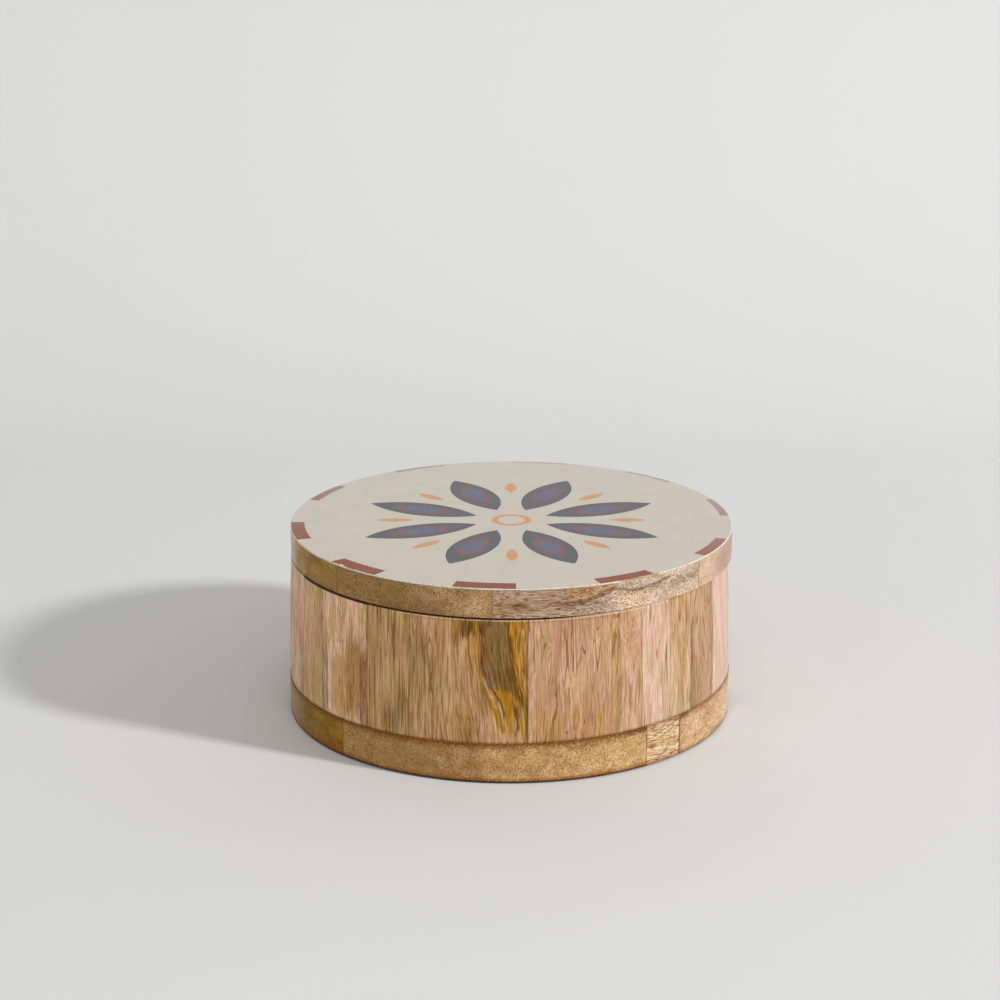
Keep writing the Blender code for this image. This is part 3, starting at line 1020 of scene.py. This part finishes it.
def polar(radius, angle):
    """Point at this radius, and at this angle in radians round the box from the front."""
    return Vector((radius * math.sin(angle), -radius * math.cos(angle)))


def wavering(angle, pitch, seed):
    """Smooth noise round the rim, from about -1 to 1, with this many turns in a radian."""
    return noise.noise(Vector((math.cos(angle) * pitch, math.sin(angle) * pitch, seed)))


def chip_depth(angle):
    """How far a chip bites into the enamel's rim at this angle."""
    depth = 0.0
    for middle, half_span, deepest in RIM_CHIPS:
        away = abs((math.degrees(angle) - middle + 180) % 360 - 180) / half_span
        if away < 1:
            ragged = 0.55 + 0.9 * wavering(angle, 190, 3.1)
            depth = max(depth, deepest * (1 - away * away) * max(ragged, 0))
    return depth


def rim_outlines(radius):
    """The outline of the enamel's flat top, and the outline inside its bare edge line."""
    top, painted = [], []
    for index in range(RIM_POINTS):
        angle = 2 * math.pi * index / RIM_POINTS
        edge = radius - RIM_WOBBLE * (1 + wavering(angle, 40, 7.7)) - 0.25 * chip_depth(angle)
        line = BARE_LINE + BARE_LINE_WANDER * wavering(angle, 60, 1.3) + chip_depth(angle)
        top.append(polar(edge, angle))
        painted.append(polar(edge - line, angle))
    return top, painted


def dash_outline(middle, radius):
    """Outline of a border dash, which runs out past the rim. The ring of dashes was painted a
    little off the lid's middle."""
    half = math.radians(DASH_SPAN) / 2
    steps = round(2 * half / ARC_STEP)
    angles = [math.radians(middle) - half + 2 * half * step / steps for step in range(steps + 1)]
    outer = [polar(radius + DASH_OVERRUN, angle) for angle in angles]
    inner = [polar(DASH_INNER + DASH_SHIFT.dot(polar(1, angle)), angle) for angle in reversed(angles)]
    return outer + inner


def spot_outline(middle, radius, half_span, half_depth):
    """Ragged outline of a worn spot near the rim."""
    points = []
    for index in range(SPOT_POINTS):
        turn = 2 * math.pi * index / SPOT_POINTS
        reach = 1 + 0.6 * noise.noise(Vector((math.cos(turn), math.sin(turn), middle)) * 1.7)
        angle = math.radians(middle + half_span * reach * math.cos(turn))
        points.append(polar(radius - half_depth * reach * math.sin(turn), angle))
    return points


def almond_outline(foot, tip, width, angle):
    """Outline of an almond that points out from the middle, its sides two arcs."""
    axis = polar(1, angle)
    across = Vector((-axis.y, axis.x))
    half_length = (tip - foot) / 2
    bulge = width / 2
    arc_radius = (half_length**2 + bulge**2) / (2 * bulge)
    points = []
    for sign in (1, -1):
        for step in range(LEAF_POINTS):
            along = sign * half_length * math.cos(math.pi * step / LEAF_POINTS)
            rise = math.sqrt(arc_radius**2 - along**2) - (arc_radius - bulge)
            points.append(axis * ((foot + tip) / 2 + along) + across * (sign * rise))
    return points


def circle_outline(radius):
    return [polar(radius, 2 * math.pi * step / 64) for step in range(64)]


def motif_outlines():
    """The rosette's shapes as (paint, outline), later ones over earlier ones."""
    motifs = []
    for index in range(LEAVES):
        angle = 2 * math.pi * (index + 0.5) / LEAVES
        half_length = (LEAF_TIP - LEAF_FOOT) / 2
        centre = (LEAF_TIP + LEAF_FOOT) / 2
        for paint, length_share, width_share in LEAF_LAYERS:
            reach = half_length * length_share
            outline = almond_outline(centre - reach, centre + reach, LEAF_WIDTH * width_share, angle)
            motifs.append((paint, outline))
        between = 2 * math.pi * index / LEAVES
        motifs.append(("ochre", almond_outline(SEED_FOOT, SEED_TIP, SEED_WIDTH, between)))
    motifs.append(("ochre", circle_outline(HEART_RING)))
    motifs.append(("cream", circle_outline(HEART_RADIUS)))
    return motifs


def edge_shows(co):
    """What shows on the enamel's edge at this place: the timber, where a worn spot bares it."""
    for shows, middle, _, half_span, _ in WORN_SPOTS:
        if shows == "timber" and abs((angle_of(co) - middle + 180) % 360 - 180) < half_span:
            return shows
    return "bare"


def enamel_mesh(radius, foot, top, paints):
    """One closed disc whose flat top is divided along the outlines of what is painted on it."""
    rim, painted = rim_outlines(radius - ENAMEL_EASE)
    shapes = [("bare", rim), ("cream", painted)]
    shapes += [("terracotta", dash_outline(middle, radius)) for middle in DASH_MIDDLES]
    shapes += motif_outlines()
    first_spot = len(shapes)
    shapes += [(shows, spot_outline(*place)) for shows, *place in WORN_SPOTS]
    points, faces = [], []
    for _, outline in shapes:
        faces.append(list(range(len(points), len(points) + len(outline))))
        points += outline
    flat = delaunay_2d_cdt(points, [], faces, 1, 1e-7)
    places, triangles, sources = flat[0], flat[2], flat[5]
    bm = bmesh.new()
    verts = [bm.verts.new((point.x, point.y, top)) for point in places]
    for triangle, inside in zip(triangles, sources):
        if 0 not in inside:
            continue
        made = bm.faces.new([verts[index] for index in triangle])
        worn = max(inside) >= first_spot
        paint = shapes[max(inside)][0] if 1 in inside or worn else "bare"
        made.material_index = paints.index(paint)
    bmesh.ops.delete(bm, geom=[vert for vert in bm.verts if not vert.link_faces], context="VERTS")
    levels = ((radius, top - ENAMEL_EASE), (radius, foot + ENAMEL_FOOT_EASE),
              (radius - ENAMEL_FOOT_EASE, foot))
    for level_radius, level in levels:
        outer = [edge for edge in bm.edges if edge.is_boundary]
        made = bmesh.ops.extrude_edge_only(bm, edges=outer)["geom"]
        for item in made:
            if isinstance(item, bmesh.types.BMVert):
                away = level_radius / math.hypot(item.co.x, item.co.y)
                item.co = (item.co.x * away, item.co.y * away, level)
            elif isinstance(item, bmesh.types.BMFace):
                item.material_index = paints.index(edge_shows(item.calc_center_median()))
    bmesh.ops.edgeloop_fill(bm, edges=[edge for edge in bm.edges if edge.is_boundary])
    bmesh.ops.recalc_face_normals(bm, faces=bm.faces[:])
    mesh = bpy.data.meshes.new("lid_enamel")
    bm.to_mesh(mesh)
    bm.free()
    return mesh


PAINTS = {
    "cream": (192, 183, 168),
    "terracotta": (130, 54, 6),
    "slate": (52, 57, 68),
    "blue": (66, 74, 110),
    "russet": (108, 52, 44),
    "ochre": (202, 142, 78),
}
WORN = {"bare": (224, 214, 202), "timber": (196, 158, 116), "pit": (72, 54, 36)}
CHIP_BROWN = (104, 74, 46)


def paint_material(name, display):
    """Satin enamel colour, a little uneven where the brush went round the lid. The dashes are
    flatter, and faded towards the back."""
    graph = Graph(f"enamel_{name}")
    place = graph.millimetres()
    flat = graph.vector("MULTIPLY", place, (1, 1, 0))
    radius = graph.vector("LENGTH", flat)
    heading = graph.vector("MULTIPLY", graph.add("VectorMath", {0: flat}, operation="NORMALIZE"), (4, 4, 0))
    stroke = graph.add("CombineXYZ", {0: graph.math("DIVIDE", radius, 0.9)})
    brushed = graph.noise(graph.vector("ADD", stroke, heading), detail=2.0)
    mottle = graph.noise(graph.scaled(place, (14, 14, 14)), detail=3.0)
    grit = graph.noise(graph.scaled(place, (0.5, 0.5, 0.5)), detail=2.0)
    darker = linear([value * 0.86 for value in display])
    lighter = linear([min(value * 1.07 + 3, 255) for value in display])
    strength = 0.12 if name == "cream" else 0.5
    colour = graph.mix(graph.ramp(brushed, 0.3, 0.7, 0.0, strength), linear(display), darker)
    colour = graph.mix(graph.ramp(mottle, 0.35, 0.7, 0.0, 0.2), colour, lighter)
    colour = graph.mix(graph.ramp(grit, 0.66, 0.78, 0.0, 0.1), colour, darker)
    if name == "terracotta":
        backwards = graph.vector("DOT_PRODUCT", place, (0.3, 1.0, 0.0))
        faded = graph.ramp(backwards, -90.0, 170.0, 0.0, 0.8)
        colour = graph.mix(faded, colour, linear(PAINTS["cream"]))
    rough = graph.sum((mottle, 0.10), (0.20, 1.0))
    swell = graph.noise(graph.scaled(place, (5, 5, 5)), detail=2.0)
    normal = graph.bump(swell, 0.02 * MM)
    return graph.finish(colour, rough, normal, ior=1.28 if name == "terracotta" else 1.42)


def worn_material(name, display):
    """What shows where the enamel is rubbed or chipped, specked with the board's brown."""
    graph = Graph(f"enamel_{name}")
    place = graph.millimetres()
    speck = graph.noise(graph.scaled(place, (0.55, 0.55, 0.4)), detail=2.0)
    tone = graph.noise(graph.scaled(place, (3, 3, 1)), detail=2.0)
    darker = linear([value * 0.9 for value in display])
    colour = graph.mix(graph.ramp(tone, 0.3, 0.7), linear(display), darker)
    colour = graph.mix(graph.ramp(speck, 0.56, 0.66, 0.0, 0.8), colour, linear(CHIP_BROWN))
    normal = graph.bump(speck, 0.05 * MM)
    return graph.finish(colour, graph.ramp(tone, 0.3, 0.7, 0.4, 0.6), normal)


def add_enamel():
    low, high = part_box("lid_enamel")
    names = [*PAINTS, *WORN]
    materials = [paint_material(name, display) for name, display in PAINTS.items()]
    materials += [worn_material(name, display) for name, display in WORN.items()]
    mesh = enamel_mesh(high.x - LID_INSET, low.z, high.z, names)
    mesh.transform(Matrix.Translation(LID_SHIFT))
    add_piece("lid_enamel_shown", mesh, "lid", "lid_enamel", materials, "lid_enamel")


# Stage


def add_sheet():
    """Floor that sweeps up into a backdrop."""
    profile = [(SHEET_FRONT, 0.0)]
    for step in range(COVE_STEPS + 1):
        turn = math.pi / 2 * step / COVE_STEPS
        profile.append((COVE_START + COVE_RADIUS * math.sin(turn), COVE_RADIUS * (1 - math.cos(turn))))
    profile.append((COVE_START + COVE_RADIUS, SHEET_TOP))
    bm = bmesh.new()
    rows = []
    for y, z in profile:
        rows.append([bm.verts.new((x, y, z - SHEET_DROP)) for x in (-SHEET_HALF_WIDTH, SHEET_HALF_WIDTH)])
    for near, far in zip(rows, rows[1:]):
        bm.faces.new((near[0], near[1], far[1], far[0]))
    mesh = bpy.data.meshes.new("backdrop")
    bm.to_mesh(mesh)
    bm.free()
    mesh.shade_smooth()
    graph = Graph("backdrop_paper")
    place = graph.millimetres()
    tone = graph.noise(graph.scaled(place, (300, 300, 300)), detail=2.0)
    colour = graph.mix(graph.ramp(tone, 0.3, 0.7, 0, 0.3), linear((212, 212, 211)), linear((209, 209, 209)))
    graph.put(graph.shader.inputs["Base Color"], colour)
    graph.shader.inputs["Roughness"].default_value = 0.9
    graph.shader.inputs["Specular IOR Level"].default_value = 0.2
    mesh.materials.append(graph.material)
    sheet = bpy.data.objects.new("backdrop", mesh)
    bpy.context.scene.collection.objects.link(sheet)


def add_lamps():
    """A key light from the right, a little in front of the box, and weak cards at the left and
    above the camera."""
    for lamp in LAMPS:
        light = bpy.data.lights.new(lamp.name, "AREA")
        light.shape = "DISK"
        light.size = lamp.width
        light.energy = lamp.power
        body = bpy.data.objects.new(lamp.name, light)
        height = math.radians(lamp.elevation)
        towards = outward(lamp.bearing) * math.cos(height) + UP * math.sin(height)
        body.location = towards * lamp.distance
        body.rotation_euler = towards.to_track_quat("Z", "Y").to_euler()
        bpy.context.scene.collection.objects.link(body)


def add_fill_light():
    world = bpy.data.worlds.new("studio")
    world.use_nodes = True
    background = world.node_tree.nodes["Background"]
    background.inputs["Color"].default_value = (1.0, 1.0, 1.0, 1.0)
    background.inputs["Strength"].default_value = FILL_STRENGTH
    bpy.context.scene.world = world


def add_camera():
    data = bpy.data.cameras.new("camera")
    data.lens = CAMERA_LENS
    data.sensor_width = SENSOR
    camera = bpy.data.objects.new("camera", data)
    camera.location = CAMERA_PLACE
    camera.rotation_euler = (math.radians(90 - CAMERA_PITCH), 0, 0)
    bpy.context.scene.collection.objects.link(camera)
    bpy.context.scene.camera = camera


add_base()
add_wall()
add_lid_boards()
add_enamel()
add_sheet()
add_lamps()
add_fill_light()
add_camera()
bpy.context.scene.view_settings.view_transform = "Standard"
